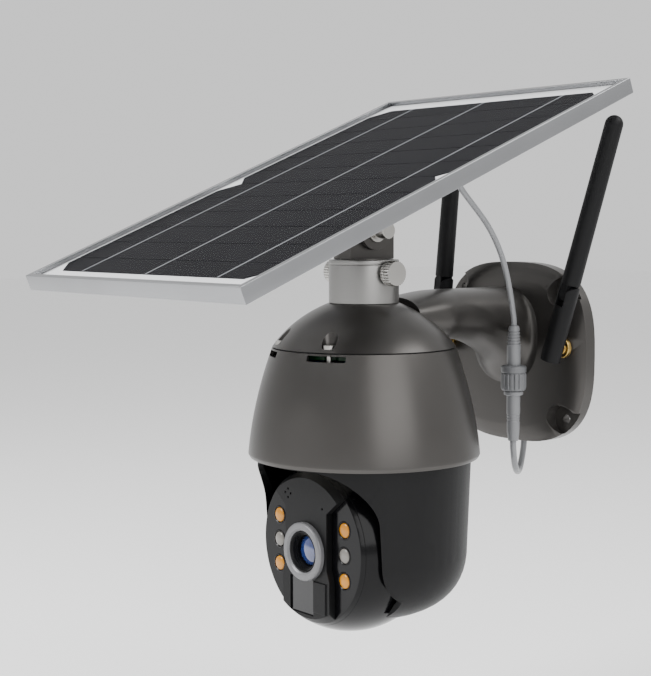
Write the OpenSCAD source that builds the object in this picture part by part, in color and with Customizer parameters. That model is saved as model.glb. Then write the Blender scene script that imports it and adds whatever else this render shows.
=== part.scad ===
// Solar-powered pan and tilt security camera on a wall arm.
// Origin: centre of the wall plate's back face, +Z up, the wall at Y = 0, the camera looks along -Y.

/* [Wall plate] */
// Width of the wall plate
plate_w = 99; // [96:1:125]
// Height of the wall plate
plate_h = 92; // [90:1:115]
// Depth of the plate's straight edge
plate_edge = 6.6; // [5.5:0.1:8]
// Depth of the plate's raised face from the wall
plate_depth = 12; // [11:0.5:15]
// Width of the slope between the edge and the raised face
plate_slope = 9; // [6:1:12]
// Wall thickness of the plate moulding
plate_wall = 2.4; // [1.8:0.1:3]
// Distance between the wall screw holes, across
screw_span_x = 72; // [60:1:76]
// Distance between the wall screw holes, up and down
screw_span_z = 64; // [56:1:70]
// Bore of a wall screw hole
screw_bore = 4.5; // [3.5:0.1:5.5]

/* [Arm and cap] */
// Distance from the wall to the camera's upright axis
arm_reach = 108; // [104:1:130]
// Width of the arm at its narrowest
arm_w = 34; // [28:1:38]
// Height of the cap, from the seam up to the collar
cap_h = 20.8; // [18:0.2:24]
// Height of the seam between the cap and the shell above the plate's centre
seam_z = 7.7; // [4:0.1:12]
// Bore through the arm for the wires
arm_bore = 12; // [8:1:14]

/* [Shell] */
// Radius of the shell at its rim
rim_r = 54.8; // [54:0.2:62]
// Radius of the shell at the seam
seam_r = 43.4; // [42:0.2:46]
// Height of the shell, from the seam down to the rim
shell_h = 49.2; // [48:0.2:56]
// Height of the turned-in lip under the rim
lip_h = 2; // [1.5:0.1:3]
// Wall thickness of the shell and the cap
shell_wall = 2.5; // [2:0.1:3]

/* [Pan and tilt head] */
// Outer radius of the fork at its top
fork_r = 50.8; // [50:0.2:53]
// Height of the fork below the shell
fork_h = 74; // [72:1:82]
// Wall thickness of the fork
fork_wall = 2.6; // [2.2:0.1:3.2]
// Half width of the front opening
arch_half_w = 41.7; // [40:0.1:43]
// Radius of the ball
ball_r = 42.2; // [38:0.2:42.4]
// Distance of the ball's centre in front of the pan axis
ball_forward = 8.9; // [7:0.1:10]
// Distance of the ball's centre below the shell
ball_drop = 39.9; // [39:0.1:44]
// Distance of the flat face in front of the ball's centre
face_forward = 23.4; // [21:0.1:25]
// Wall thickness of the ball
ball_wall = 2; // [1.6:0.1:2.5]
// Outer radius of the lens ring
lens_ring_r = 13.6; // [11:0.1:14]
// Distance between the two columns of lamps
lamp_span = 47.4; // [44:0.2:49]
// Distance between the lamps in a column
lamp_pitch = 11.6; // [11:0.2:12.4]
// Radius of a lamp's lens
lamp_r = 3.4; // [2.5:0.1:3.8]
// Radius of a tilt pin
tilt_pin_r = 4; // [3:0.1:5]

/* [Gears] */
// Module of the gears
gear_module = 0.8; // [0.8:0.1:0.8]
// Teeth on the pan gear
pan_teeth = 60; // [48:12:60]
// Teeth on the tilt gear
tilt_teeth = 36; // [36:12:48]
// Teeth on each motor's pinion
pinion_teeth = 12; // [12:1:12]
// Width of the gears
gear_w = 4; // [3:0.5:5]

/* [Collar and post] */
// Outer radius of the collar
collar_r = 16.5; // [15:0.1:18]
// Height of the collar
collar_h = 20.5; // [18:0.5:24]
// Radius of the post inside the collar
post_r = 13.6; // [12:0.1:14]
// Width of the post's tongue
tongue_w = 12; // [10:0.5:14]
// Depth of the post's tongue, front to back
tongue_d = 27; // [22:0.5:28]
// Height of the tilt bolt above the collar
pivot_h = 13.5; // [12:0.5:17]
// Radius of the tilt bolt
bolt_r = 2.5; // [2:0.1:3]
// Radius of a thumb screw's head
thumb_r = 6; // [5:0.1:7]

/* [Solar panel] */
// Length of the panel
panel_l = 240; // [220:1:288]
// Width of the panel
panel_w = 165.8; // [140:0.2:170]
// Depth of the panel frame
frame_d = 7.4; // [6:0.1:9]
// Width of the lip that holds the glass
lip_w = 2.4; // [2:0.1:4]
// Tilt of the panel from level
panel_tilt = 22; // [22:1:40]
// Distance from the tilt bolt up to the panel's face
panel_lift = 30.6; // [30:0.2:36]
// Distance of the bracket behind the panel's centre
bracket_back = 10.2; // [6:0.2:14]
// Width of a cell across the panel
cell_w = 156; // [120:1:156]
// Pitch of the cell strips along the panel
strip_pitch = 18.7; // [15:0.1:18.8]
// Width of the last strip at each end
end_strip = 15.1; // [12:0.1:16]

/* [Antennas] */
// Distance of an antenna socket from the plate's centre, across
antenna_x = 40; // [36:0.5:41]
// Distance from the antenna's socket up to its hinge
antenna_base_l = 28; // [26:1:34]
// Length of the antenna's blade, from its hinge
antenna_blade_l = 89; // [70:1:89]
// Radius of the blade at its hinge
antenna_r = 4.7; // [4:0.1:5]
// Lean of the right antenna, outwards
lean_right = 18.5; // [10:0.5:30]
// Lean of the left antenna, outwards
lean_left = -6; // [-6:0.5:30]

/* [Cords] */
// Diameter of the panel lead
lead_d = 2.8; // [2.4:0.1:3.2]
// Diameter of the pigtail
pigtail_d = 3.2; // [2.8:0.1:3.6]
// Radius of the lock ring on the connector
lock_r = 6.3; // [5.5:0.1:6.5]

/* [Hidden] */
$fn = 64;
eps = 0.01;
running = 0.05;
gap = 0.05;

// Levels along the upright axis
cap_top = seam_z + cap_h;
collar_top = cap_top + collar_h;
pivot_z = collar_top + pivot_h;
rim_z = seam_z - shell_h;
shell_bottom = rim_z - lip_h;
seam_gap = 0.6;

// The fork and the ball
fork_top = shell_bottom + 4;
fork_bottom = shell_bottom - fork_h;
fork_waist = shell_bottom - 42;
fork_waist_r = fork_r - 1.8;
fork_screw_r = fork_r - 6.4;
ball_y = -arm_reach - ball_forward;
ball_z = shell_bottom - ball_drop;
ball_gap = 1.2;
lens_z = ball_z - 1.4;
ring_out = 6.2;
plate_out = 3.4;

// The drive inside the shell
deck_z = shell_bottom + 22.5;
deck_t = 3;
deck_r = (seam_r + 2 * (rim_r - 2.2) + rim_r) / 4 - shell_wall - 0.4;
deck_screw_r = deck_r - 3.9;
bearing_r = 11;
bearing_h = 7;
bearing_z = deck_z + deck_t - bearing_h;
shaft_r = 6;
table_z = fork_top + gap;
table_t = 3;
pinion_gap = 0.25;
pan_gear_r = gear_module * pan_teeth / 2;
pinion_r = gear_module * pinion_teeth / 2;
pan_centres = pan_gear_r + pinion_r + pinion_gap;
pan_gear_z = table_z + table_t + 3;
tilt_gear_r = gear_module * tilt_teeth / 2;
tilt_centres = tilt_gear_r + pinion_r + pinion_gap;
hub_out = ball_r + 1.4;
pin_end = fork_waist_r - 2.4;
bush_l = pin_end - hub_out - 0.2;

// The arm's sections: distance from the wall, half width, lowest and highest level
arm_top_z = cap_top + 5;
arm_low_z = seam_z + 1.2;
flare_half_w = 22.4;
flare_low_z = -16;
arm_sections = [
    [plate_depth + gap, flare_half_w, flare_low_z, arm_top_z - 0.5],
    [plate_depth + 2, flare_half_w - 3, flare_low_z + 2.5, arm_top_z - 0.2],
    [plate_depth + 8, arm_w / 2 + 0.8, flare_low_z + 11, arm_top_z],
    [plate_depth + 18, arm_w / 2, flare_low_z + 18, arm_top_z],
    [plate_depth + 32, arm_w / 2, flare_low_z + 23.5, arm_top_z],
    [arm_reach - 50, arm_w / 2 + 0.5, arm_low_z, arm_top_z],
    [arm_reach - 38, arm_w / 2 + 2, arm_low_z, arm_top_z - 0.5],
    [arm_reach - 20, arm_w / 2 + 1, arm_low_z + 2, arm_top_z - 3]
];
arm_sides = 32;
arm_bore_z = 20;
arm_screw_x = 10;
arm_screw_z = [-3, 24];

// The panel's layers, measured from its face
glass_t = 1.6;
cell_t = 0.3;
sheet_t = 0.6;
frame_up = 0.5;
glass_play = 0.4;
strips = 6;
cell_chamfer = 9;
rail_t = 2;
rail_l = 34;
lug_t = 2.5;
lug_r = 9;
side_gap = 0.3;
box_l = 46;
box_w = 36;
box_h = 13;
box_x = 38;
box_back = -8;
gland_l = 36;
gland_level = -10.1;

// The antennas
antenna_y = -20;
antenna_z = 4.5;
socket_r = 5;

// The connector on the cords
cord_x = 25;
cord_y = -32;
plug_top = 15.5;
plug_l = 20;
ring_top = -4;
ring_l = 12.4;
socket_bottom = -41.5;

// The lead's route, from the gland to the plug
lead_route = [
    [38, -103.8, 86.3], [38, -99.2, 88.2], [38, -96, 89.4], [37.8, -92, 90.1], [37.3, -88, 88.6], [36.6, -84.5, 86.1],
    [35.7, -80, 82.1], [34.9, -75.5, 78.4], [34, -70, 74.2], [33.1, -64.5, 70], [32.2, -59, 65.4],
    [31.3, -54, 60.4], [30.4, -49.5, 55], [29.5, -45.5, 49.3], [28.5, -42, 43.3],
    [27.6, -39, 37.1], [26.7, -36.4, 30.8], [25.7, -34, 24.5], [25.15, -32.5, 20], [25, -32, 17.5],
    [25, -32, 15.55]
];
lead_side = [1, 0, 0];

// The pigtail's route, from the socket round to the plate's lower edge
pigtail_route = [
    [25, -32, -41.55], [25, -32, -43.5], [24.8, -31.6, -46], [24.3, -30.7, -49], [23.3, -29.2, -52],
    [21.8, -27, -54.9], [19.9, -24.2, -57.3], [17.6, -20.8, -59], [15.2, -17.4, -59.4],
    [12.8, -13.9, -58.8], [10.6, -10.7, -57.1], [8.7, -7.8, -54.5], [7.2, -5.4, -51.2],
    [6.4, -4, -47.8], [6.2, -3.6, -44.5]
];
exit_x = 6.2;
exit_y = -3.6;
pigtail_side = [0.82, 0.57, 0];

grey = [0.36, 0.36, 0.36];
black = [0.12, 0.12, 0.125];
steel = [0.62, 0.62, 0.62];
green = [0.08, 0.32, 0.16];

// A quadratic curve from a to b that leans towards k
function curve(a, k, b, n) =
    [for (i = [0 : n]) let (t = i / n) (1 - t) * (1 - t) * a + 2 * t * (1 - t) * k + t * t * b];

// A rounded oblong of half sizes a and b
function oblong(a, b, n, power = 2.9) =
    [for (i = [0 : n - 1]) let (c = cos(360 * i / n), s = sin(360 * i / n))
        [a * sign(c) * pow(abs(c), 2 / power), b * sign(s) * pow(abs(s), 2 / power)]];

// The outline of a spur gear with straight-sided teeth
function gear_outline(teeth, phase = 0) =
    let (r = gear_module * teeth / 2, tip = r + 0.8 * gear_module, root = r - 1.1 * gear_module,
        pitch = 360 / teeth)
    [for (i = [0 : teeth - 1]) for (p = [[-0.27, root], [-0.11, tip], [0.11, tip], [0.27, root]])
        let (a = (i + p[0] + phase) * pitch) [p[1] * cos(a), p[1] * sin(a)]];

// The rings of a tube swept along a route
function ring_points(route, i, r, side, sides) =
    let (last = len(route) - 1, ahead = route[min(i + 1, last)], behind = route[max(i - 1, 0)],
        along = (ahead - behind) / norm(ahead - behind), up = cross(along, side),
        v = up / norm(up), u = cross(v, along))
    [for (k = [0 : sides - 1])
        route[i] + r * cos(360 * k / sides) * u + r * sin(360 * k / sides) * v];

module tube(route, d, side, sides = 8) {
    n = len(route);
    points = [for (i = [0 : n - 1]) each ring_points(route, i, d / 2, side, sides)];
    walls = [for (i = [0 : n - 2]) for (k = [0 : sides - 1]) let (k2 = (k + 1) % sides)
        [i * sides + k2, i * sides + k, (i + 1) * sides + k, (i + 1) * sides + k2]];
    start = [for (k = [0 : sides - 1]) k];
    end = [for (k = [sides - 1 : -1 : 0]) (n - 1) * sides + k];
    polyhedron(points, concat(walls, [start, end]));
}

// A solid skinned over oblong sections that stand one behind the other
module skinned(sections, sides, shrink = 0) {
    n = len(sections);
    points = [for (s = sections)
        let (half_h = (s[3] - s[2]) / 2 - shrink, mid = (s[3] + s[2]) / 2)
        for (q = oblong(s[1] - shrink, half_h, sides, 2.3)) [q[0], -s[0], mid + q[1]]];
    walls = [for (i = [0 : n - 2]) for (k = [0 : sides - 1]) let (k2 = (k + 1) % sides)
        [i * sides + k2, i * sides + k, (i + 1) * sides + k, (i + 1) * sides + k2]];
    start = [for (k = [0 : sides - 1]) k];
    end = [for (k = [sides - 1 : -1 : 0]) (n - 1) * sides + k];
    polyhedron(points, concat(walls, [start, end]));
}

// A prism whose depth runs from the wall outwards
module outwards(y, depth) translate([0, -y, 0]) rotate([90, 0, 0]) linear_extrude(depth) children();

// A cylinder along X
module across(r, l, centre = true) rotate([0, 90, 0]) cylinder(r = r, h = l, center = centre);

module at_axis(z = 0) translate([0, -arm_reach, z]) children();
module at_ball() translate([0, ball_y, ball_z]) children();
module at_panel()
    translate([0, -arm_reach, pivot_z]) rotate([panel_tilt, 0, 0])
        translate([0, -bracket_back, panel_lift]) children();
module at_corners(x, z) for (sx = [-1, 1]) for (sz = [-1, 1]) translate([sx * x, 0, sz * z]) children();

module wall_plate_body() {
    outwards(0, plate_edge) polygon(oblong(plate_w / 2, plate_h / 2, 72));
    hull() {
        outwards(plate_edge - 0.2, 0.2) polygon(oblong(plate_w / 2, plate_h / 2, 72));
        outwards(plate_depth - 0.2, 0.2)
            polygon(oblong(plate_w / 2 - plate_slope, plate_h / 2 - plate_slope, 72));
    }
}

pocket_floor = plate_edge - 1.6;
pocket_w = 15;

// The sealing band runs between these two insets from the plate's edge, clear of the wall screws
band_out = 0.8;
band_in = 2.4;

module wall_plate() color(grey) difference() {
    wall_plate_body();
    difference() {
        translate([0, eps, 0]) outwards(0, plate_depth - plate_wall)
            polygon(oblong(plate_w / 2 - plate_slope - plate_wall,
                           plate_h / 2 - plate_slope - plate_wall, 48));
        at_corners(screw_span_x / 2, screw_span_z / 2)
            rotate([90, 0, 0]) cylinder(r = pocket_w / 2 + plate_wall, h = plate_depth);
        for (sx = [-1, 1]) translate([sx * antenna_x, 0, antenna_z])
            rotate([90, 0, 0]) cylinder(r = socket_r + 4, h = plate_depth);
        for (sx = [-1, 1]) for (z = arm_screw_z) translate([sx * arm_screw_x, 0, z])
            rotate([90, 0, 0]) cylinder(r = 4.5, h = plate_depth);
        translate([exit_x - 6, -plate_depth, -plate_h / 2]) cube([12, plate_depth, plate_slope + 6]);
    }
    at_corners(screw_span_x / 2, screw_span_z / 2)
        translate([0, -pocket_floor, 0]) rotate([90, 0, 0]) cylinder(r = pocket_w / 2, h = plate_depth);
    at_corners(screw_span_x / 2 + pocket_w / 2, screw_span_z / 2 + pocket_w / 4)
        translate([-pocket_w / 2, -pocket_floor - plate_depth, -pocket_w / 2])
            cube([pocket_w, plate_depth, pocket_w]);
    at_corners(screw_span_x / 2, screw_span_z / 2)
        rotate([90, 0, 0]) cylinder(d = screw_bore, h = 3 * plate_depth, center = true);
    for (sx = [-1, 1]) translate([sx * antenna_x, 0, antenna_z])
        rotate([90, 0, 0]) cylinder(r = 3.2, h = 3 * plate_depth, center = true);
    for (sx = [-1, 1]) for (z = arm_screw_z) translate([sx * arm_screw_x, 0, z]) {
        rotate([90, 0, 0]) cylinder(r = 1.7, h = 3 * plate_depth, center = true);
        translate([0, eps, 0]) rotate([90, 0, 0]) cylinder(r = 3.2, h = 4);
    }
    translate([0, 0, arm_bore_z]) rotate([90, 0, 0]) cylinder(d = arm_bore, h = 3 * plate_depth, center = true);
    difference() {
        translate([0, eps, 0]) outwards(0, 1.5) polygon(oblong(plate_w / 2 - band_out, plate_h / 2 - band_out, 72));
        translate([0, 1, 0]) outwards(0, 4) polygon(oblong(plate_w / 2 - band_in, plate_h / 2 - band_in, 72));
    }
    translate([exit_x, exit_y, -plate_h / 2 - 1]) cylinder(d = pigtail_d + 0.6, h = plate_slope + 9);
}

module wall_gasket() color(black) difference() {
    outwards(0, 1.5 - gap) polygon(oblong(plate_w / 2 - band_out - gap, plate_h / 2 - band_out - gap, 72));
    translate([0, 1, 0]) outwards(0, 4) polygon(oblong(plate_w / 2 - band_in + gap, plate_h / 2 - band_in + gap, 72));
}

// Outer profile of the cap: from the collar's foot out to the seam
cap_profile = curve([collar_r + 0.5, cap_top], [collar_r + 17, cap_top - 6.8],
                    [seam_r - 0.2, seam_z + 0.6], 14);
collar_floor = 3.5;
collar_screw_r = 10;

module arm_cap() color(grey) difference() {
    union() {
        at_axis() rotate_extrude($fn = 96)
            polygon(concat([[0, seam_z + 0.6], [0, cap_top]], cap_profile));
        skinned(arm_sections, arm_sides);
    }
    at_axis() rotate_extrude($fn = 96)
        polygon(concat([[0, seam_z], [0, cap_top - 4]],
            curve([collar_r - 2, cap_top - 4], [collar_r + 12, cap_top - 9],
                [seam_r - shell_wall - 3, seam_z + 3], 8),
            [[seam_r - shell_wall - 3, seam_z]]));
    translate([0, 1, arm_bore_z]) rotate([90, 0, 0]) cylinder(d = arm_bore, h = arm_reach - 20);
    at_axis(cap_top - 8) cylinder(r = 4.2, h = 12);
    for (a = [60 : 120 : 300]) at_axis(cap_top - 8) rotate(a)
        translate([collar_screw_r, 0, 0]) cylinder(r = 1.3, h = 12);
    for (a = [-26, 26]) at_axis(seam_z) rotate(a) translate([0, -seam_r + 3.5, 0]) {
        cylinder(r = 1.3, h = 9);
        translate([0, 0, 2]) cylinder(r = 3.4, h = 20);
    }
    for (sx = [-1, 1]) for (z = arm_screw_z) translate([sx * arm_screw_x, -plate_depth + 2, z])
        rotate([90, 0, 0]) cylinder(r = 1.3, h = 8);
}

// Four screws hold the arm to the plate, and three hold the collar to the cap
module arm_screws() color(steel) {
    for (sx = [-1, 1]) for (z = arm_screw_z) translate([sx * arm_screw_x, -1.2, z]) rotate([90, 0, 0]) {
        cylinder(r = 2.9, h = 2.4);
        cylinder(r = 1.25, h = plate_depth + 3.3);
    }
    for (a = [60 : 120 : 300]) at_axis(cap_top) rotate(a) translate([collar_screw_r, 0, 0]) {
        translate([0, 0, collar_floor + gap]) cylinder(r = 2.6, h = 1.8);
        translate([0, 0, -6]) cylinder(r = 1.25, h = 10);
    }
}

module cap_seal() color(black) at_axis(seam_z + gap) difference() {
    cylinder(r = seam_r - 1.2, h = seam_gap - 2 * gap, $fn = 96);
    translate([0, 0, -1]) cylinder(r = seam_r - shell_wall - 2.6, h = 3, $fn = 96);
    for (a = [-26, 26]) rotate(a) translate([0, -seam_r + 3.5, -1]) cylinder(r = 1.8, h = 3);
}

// Two screws from above hold the cap down, and three from below hold the deck up
module shell_screws() color(steel) {
    for (a = [-26, 26]) at_axis(seam_z) rotate(a) translate([0, -seam_r + 3.5, 0]) {
        translate([0, 0, 2 + gap]) cylinder(r = 2.6, h = 1.8);
        translate([0, 0, -4]) cylinder(r = 1.2, h = 7);
    }
    for (a = [30 : 120 : 270]) at_axis(deck_z) rotate(a) translate([deck_screw_r, 0, 0]) {
        translate([0, 0, -2 - gap]) cylinder(r = 2.6, h = 2);
        translate([0, 0, -2]) cylinder(r = 1.2, h = 9);
    }
}

// Outer profile of the shell, from the seam down to the rim
shell_profile = curve([seam_r, seam_z], [rim_r - 2.2, seam_z - shell_h * 0.52], [rim_r, rim_z], 18);
shell_inside = curve([seam_r - shell_wall, seam_z], [rim_r - 2.2 - shell_wall, seam_z - shell_h * 0.52],
    [rim_r - shell_wall, rim_z], 18);

module dome_shell() color(grey) difference() {
    union() {
        at_axis() rotate_extrude($fn = 96) polygon(concat(
            shell_profile, [[rim_r, rim_z - 0.4], [fork_r + 0.9, shell_bottom], [fork_r + 0.5, shell_bottom],
            [fork_r + 0.5, rim_z]], [for (i = [18 : -1 : 0]) shell_inside[i]]));
        for (a = [-26, 26]) at_axis(seam_z - 7) rotate(a)
            translate([0, -seam_r + 3.5, 0]) cylinder(r = 3.2, h = 7);
        for (a = [30 : 120 : 270]) at_axis(deck_z + deck_t + gap) rotate(a)
            translate([deck_screw_r, 0, 0]) cylinder(r = 4, h = 9);
    }
    for (a = [-26, 26]) at_axis(seam_z - 8) rotate(a)
        translate([0, -seam_r + 3.5, 0]) cylinder(r = 1.25, h = 9);
    for (a = [30 : 120 : 270]) at_axis(deck_z) rotate(a)
        translate([deck_screw_r, 0, 0]) cylinder(r = 1.25, h = 10.5);
}

board_drop = 3.2;
board_t = 1.6;
board_posts = [[26, 24], [12, -31]];

// The deck that carries the drive, the board and the batteries inside the shell
module inner_deck() color(black) at_axis(deck_z) difference() {
    union() {
        cylinder(r = deck_r, h = deck_t);
        translate([0, 0, bearing_z - deck_z - 1]) cylinder(r = bearing_r + 2.4, h = bearing_h + 1);
        for (sx = [-1, 1]) for (q = board_posts) translate([sx * q[0], q[1], 0])
            cylinder(r = 2.6, h = seam_z - board_drop - deck_z - gap);
    }
    translate([0, 0, bearing_z - deck_z]) cylinder(r = bearing_r, h = 20);
    translate([0, 0, -20]) cylinder(r = bearing_r - 2, h = 40);
    translate([0, pan_centres, -5]) cylinder(r = pinion_r + 1.4, h = 20);
    for (a = [30 : 120 : 270]) rotate(a) translate([deck_screw_r, 0, -5]) cylinder(r = 1.7, h = 20);
}

module main_board() color(green) at_axis(seam_z - board_drop) difference() {
    cylinder(r = seam_r - shell_wall - 3.4, h = board_t);
    for (a = [-26, 26]) rotate(a) translate([0, -seam_r + 3.5, -1]) cylinder(r = 4.4, h = 4);
    translate([0, 0, -1]) cylinder(r = 6, h = 4);
}

cell_r = 9.2;
cell_l = 65;
cell_low = 3.2;
cell_rows = [3, -16];

module battery_cells() color([0.2, 0.35, 0.6]) for (y = cell_rows)
    at_axis(deck_z + deck_t + cell_low + cell_r) translate([0, y, 0]) across(cell_r, cell_l);

module battery_holder() color(black) at_axis(deck_z + deck_t + gap) difference() {
    translate([-cell_l / 2 - 1.3, -26, 0]) cube([cell_l + 2.6, 38.6, 12]);
    for (y = cell_rows) translate([0, y, cell_low + cell_r - gap]) across(cell_r + gap, cell_l + 0.2);
    translate([-20, -23, cell_low + 1.4]) cube([40, 32, 12]);
    translate([0, 0, -1]) cylinder(r = 10, h = cell_low + 3);
}

module speaker() color(black) at_axis(seam_z - board_drop + board_t + gap) difference() {
    cylinder(r = 14, h = 5);
    translate([0, 0, 3.5]) cylinder(r = 11, h = 2);
}

module pan_motor() color(steel) at_axis(deck_z + deck_t + gap) translate([0, pan_centres, 0]) {
    cylinder(r = 14, h = 17);
    translate([0, 0, pan_gear_z - deck_z - deck_t]) cylinder(r = 1.5, h = deck_z + deck_t - pan_gear_z + 1);
}

module pan_pinion() color("white") at_axis(pan_gear_z) translate([0, pan_centres, 0])
    difference() {
        linear_extrude(gear_w) polygon(gear_outline(pinion_teeth, phase = 0.25 * pinion_teeth + 0.5));
        translate([0, 0, -1]) cylinder(r = 1.5 + running, h = gear_w + 2);
    }

module pan_bearing() color(steel) at_axis(bearing_z) difference() {
    cylinder(r = bearing_r - 0.02, h = bearing_h - gap);
    translate([0, 0, -1]) cylinder(r = shaft_r + running, h = bearing_h + 2);
}

// The turntable: a disc with the pan gear on its shoulder and a hollow shaft
module turntable() color(black) at_axis(table_z) difference() {
    union() {
        cylinder(r = fork_r - 1.2, h = table_t);
        cylinder(r = bearing_r + 4, h = pan_gear_z - table_z + 0.5);
        translate([0, 0, pan_gear_z - table_z]) linear_extrude(gear_w)
            polygon(gear_outline(pan_teeth, 0.25 * pan_teeth));
        cylinder(r = 8, h = bearing_z - table_z - gap);
        cylinder(r = shaft_r, h = bearing_z + bearing_h - table_z + 2.4);
    }
    translate([0, 0, bearing_z + bearing_h - table_z + 0.1]) difference() {
        cylinder(r = shaft_r + 1, h = 0.9);
        translate([0, 0, -1]) cylinder(r = shaft_r - 0.7, h = 3);
    }
    translate([0, 0, -1]) cylinder(r = 4, h = 40);
    for (a = [45 : 90 : 315]) rotate(a) translate([fork_screw_r, 0, -1]) cylinder(r = 1.7, h = 10);
}

module pan_clip() color(steel) at_axis(bearing_z + bearing_h + 0.15) difference() {
    cylinder(r = shaft_r + 2.4, h = 0.8);
    translate([0, 0, -1]) cylinder(r = shaft_r - 0.65, h = 3);
    translate([-1.6, 0, -1]) cube([3.2, 12, 3]);
}

// The fork: a cup with an arched opening in front that shows the ball
fork_profile = concat([[0, fork_top], [fork_r, fork_top], [fork_waist_r, fork_waist]],
    curve([fork_waist_r, fork_waist], [fork_waist_r + 0.3, fork_waist - 22], [30, fork_bottom + 2.4], 10),
    [[0, fork_bottom]]);
fork_inside = concat([[0, fork_top + 1], [fork_r - fork_wall, fork_top + 1],
    [fork_waist_r - fork_wall, fork_waist]],
    curve([fork_waist_r - fork_wall, fork_waist], [fork_waist_r - fork_wall + 0.3, fork_waist - 20],
        [30, fork_bottom + 5.2], 10), [[0, fork_bottom + fork_wall]]);
arch_top = shell_bottom - 1;
arch_corner = 24;

module arch_outline() {
    translate([-arch_half_w, fork_bottom - 5]) square([2 * arch_half_w, arch_top - arch_corner - fork_bottom + 5]);
    translate([-arch_half_w + arch_corner, arch_top - arch_corner - 1])
        square([2 * (arch_half_w - arch_corner), arch_corner + 1]);
    for (sx = [-1, 1]) translate([sx * (arch_half_w - arch_corner), arch_top - arch_corner])
        circle(r = arch_corner, $fn = 96);
}

module fork_shell() color(black) difference() {
    union() {
        at_axis() difference() {
            rotate_extrude($fn = 96) polygon(fork_profile);
            rotate_extrude($fn = 96) polygon(fork_inside);
        }
        at_axis() intersection() {
            rotate_extrude($fn = 96) polygon(fork_profile);
            difference() {
                at_ball_local() across(8.5, 2 * fork_r);
                at_ball_local() across(20, 2 * hub_out + 0.6);
            }
        }
        for (a = [45 : 90 : 315]) at_axis(fork_top - 9) rotate(a)
            translate([fork_screw_r, 0, 0]) cylinder(r = 4.4, h = 8.8);
    }
    translate([0, -arm_reach - 14, 0]) rotate([90, 0, 0]) linear_extrude(60) arch_outline();
    at_ball() sphere(r = ball_r + ball_gap, $fn = 96);
    at_ball() across(tilt_pin_r + 1 + gap, 2 * pin_end + 0.4);
    for (a = [45 : 90 : 315]) at_axis(fork_top - 10) rotate(a)
        translate([fork_screw_r, 0, 0]) cylinder(r = 1.25, h = 12);
}
module at_ball_local() translate([0, -ball_forward, ball_z]) children();

module fork_screws() color(steel) for (a = [45 : 90 : 315]) at_axis(table_z + table_t) rotate(a)
    translate([fork_screw_r, 0, 0]) {
        translate([0, 0, gap]) cylinder(r = 2.6, h = 1.8);
        translate([0, 0, -9]) cylinder(r = 1.2, h = 10);
    }

module tilt_bushes() color("white") at_ball() for (sx = [-1, 1]) difference() {
    translate([sx * (pin_end - bush_l / 2 + 0.1), 0, 0]) across(tilt_pin_r + 1, bush_l);
    across(tilt_pin_r + running, 3 * fork_r);
}

// The left tilt pin stands still in the fork and carries the gear that the ball's motor walks round
gear_x = -29;

module tilt_pin() color(steel) at_ball() {
    translate([-pin_end, 0, 0]) across(tilt_pin_r, pin_end + gear_x - 0.5, centre = false);
    translate([gear_x - 0.6, 0, 0]) across(2.4, gear_w + 1.6, centre = false);
}

module tilt_gear() color("white") at_ball() difference() {
    translate([gear_x, 0, 0]) rotate([0, 90, 0]) linear_extrude(gear_w)
        polygon(gear_outline(tilt_teeth, 0.25 * tilt_teeth));
    across(2.4 + gap, 100);
}

module tilt_motor() color(steel) at_ball() translate([gear_x + gear_w + 2, tilt_centres, 0]) {
    across(9, 15, centre = false);
    translate([-gear_w - 2, 0, 0]) across(1.5, 4 + gear_w, centre = false);
}

module tilt_pinion() color("white") at_ball() translate([gear_x, tilt_centres, 0]) difference() {
    rotate([0, 90, 0]) linear_extrude(gear_w) polygon(gear_outline(pinion_teeth, 0.75 * pinion_teeth + 0.5));
    across(1.5 + running, 20);
}

face_t = 2;
lamp_x = lamp_span / 2;
lens_drop = lens_z - ball_z;
lens_bore = 9.6;
window_w = 17;
window_at = -3;
foot_low = -31;

module facing(depth) translate([0, -depth, 0]) rotate([90, 0, 0]) children();

// The ball, with its right pin moulded on and a bore for the left pin
module ball_shell() color(black) at_ball() {
    difference() {
        sphere(r = ball_r, $fn = 96);
        difference() {
            sphere(r = ball_r - ball_wall, $fn = 96);
            for (sx = [-1, 1]) translate([sx * ball_r, 0, 0]) across(tilt_pin_r + 3, 14);
        }
        translate([-50, -face_forward + face_t - 50, -50]) cube([100, 50, 100]);
        translate([-60, 0, 0]) across(tilt_pin_r + running, 60, centre = false);
    }
    translate([ball_r - 6, 0, 0]) across(tilt_pin_r, pin_end - ball_r + 6, centre = false);
}

module face_plate() color(black) at_ball() difference() {
    intersection() {
        sphere(r = ball_r, $fn = 96);
        translate([-50, -face_forward, -50]) cube([100, face_t - gap, 100]);
    }
    for (sx = [-1, 1]) for (i = [-1 : 1]) translate([sx * lamp_x, 0, i * lamp_pitch])
        rotate([90, 0, 0]) cylinder(r = lamp_r + 0.15, h = 60);
    translate([0, 0, lens_drop]) rotate([90, 0, 0]) cylinder(r = lens_bore, h = 60);
}

// The raised plate: wide above the lamps, narrow beside the lens, wider again at the foot
module centre_outline() polygon([
    [-26, 40], [-26, 27], [-15, 18], [-15, -8], [-17, -13], [-17, -40],
    [17, -40], [17, -13], [15, -8], [15, 18], [26, 27], [26, 40]
]);

module centre_plate() color(black) at_ball() difference() {
    intersection() {
        sphere(r = ball_r, $fn = 96);
        facing(face_forward + gap) linear_extrude(plate_out - gap) centre_outline();
    }
    translate([0, 0, lens_drop]) rotate([90, 0, 0]) cylinder(r = lens_bore, h = 60);
    translate([window_at - window_w / 2, -60, foot_low]) cube([window_w, 60, 16.8]);
    translate([window_at + window_w / 2 + 0.2, -60, foot_low + 2]) cube([9.2, 60, 14.8]);
    for (q = [[-13, 26], [-15, 24], [-11, 24], [-13, 22], [12, 20]])
        translate([q[0], 0, q[1]]) rotate([90, 0, 0]) cylinder(r = 0.6, h = 60);
}

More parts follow.
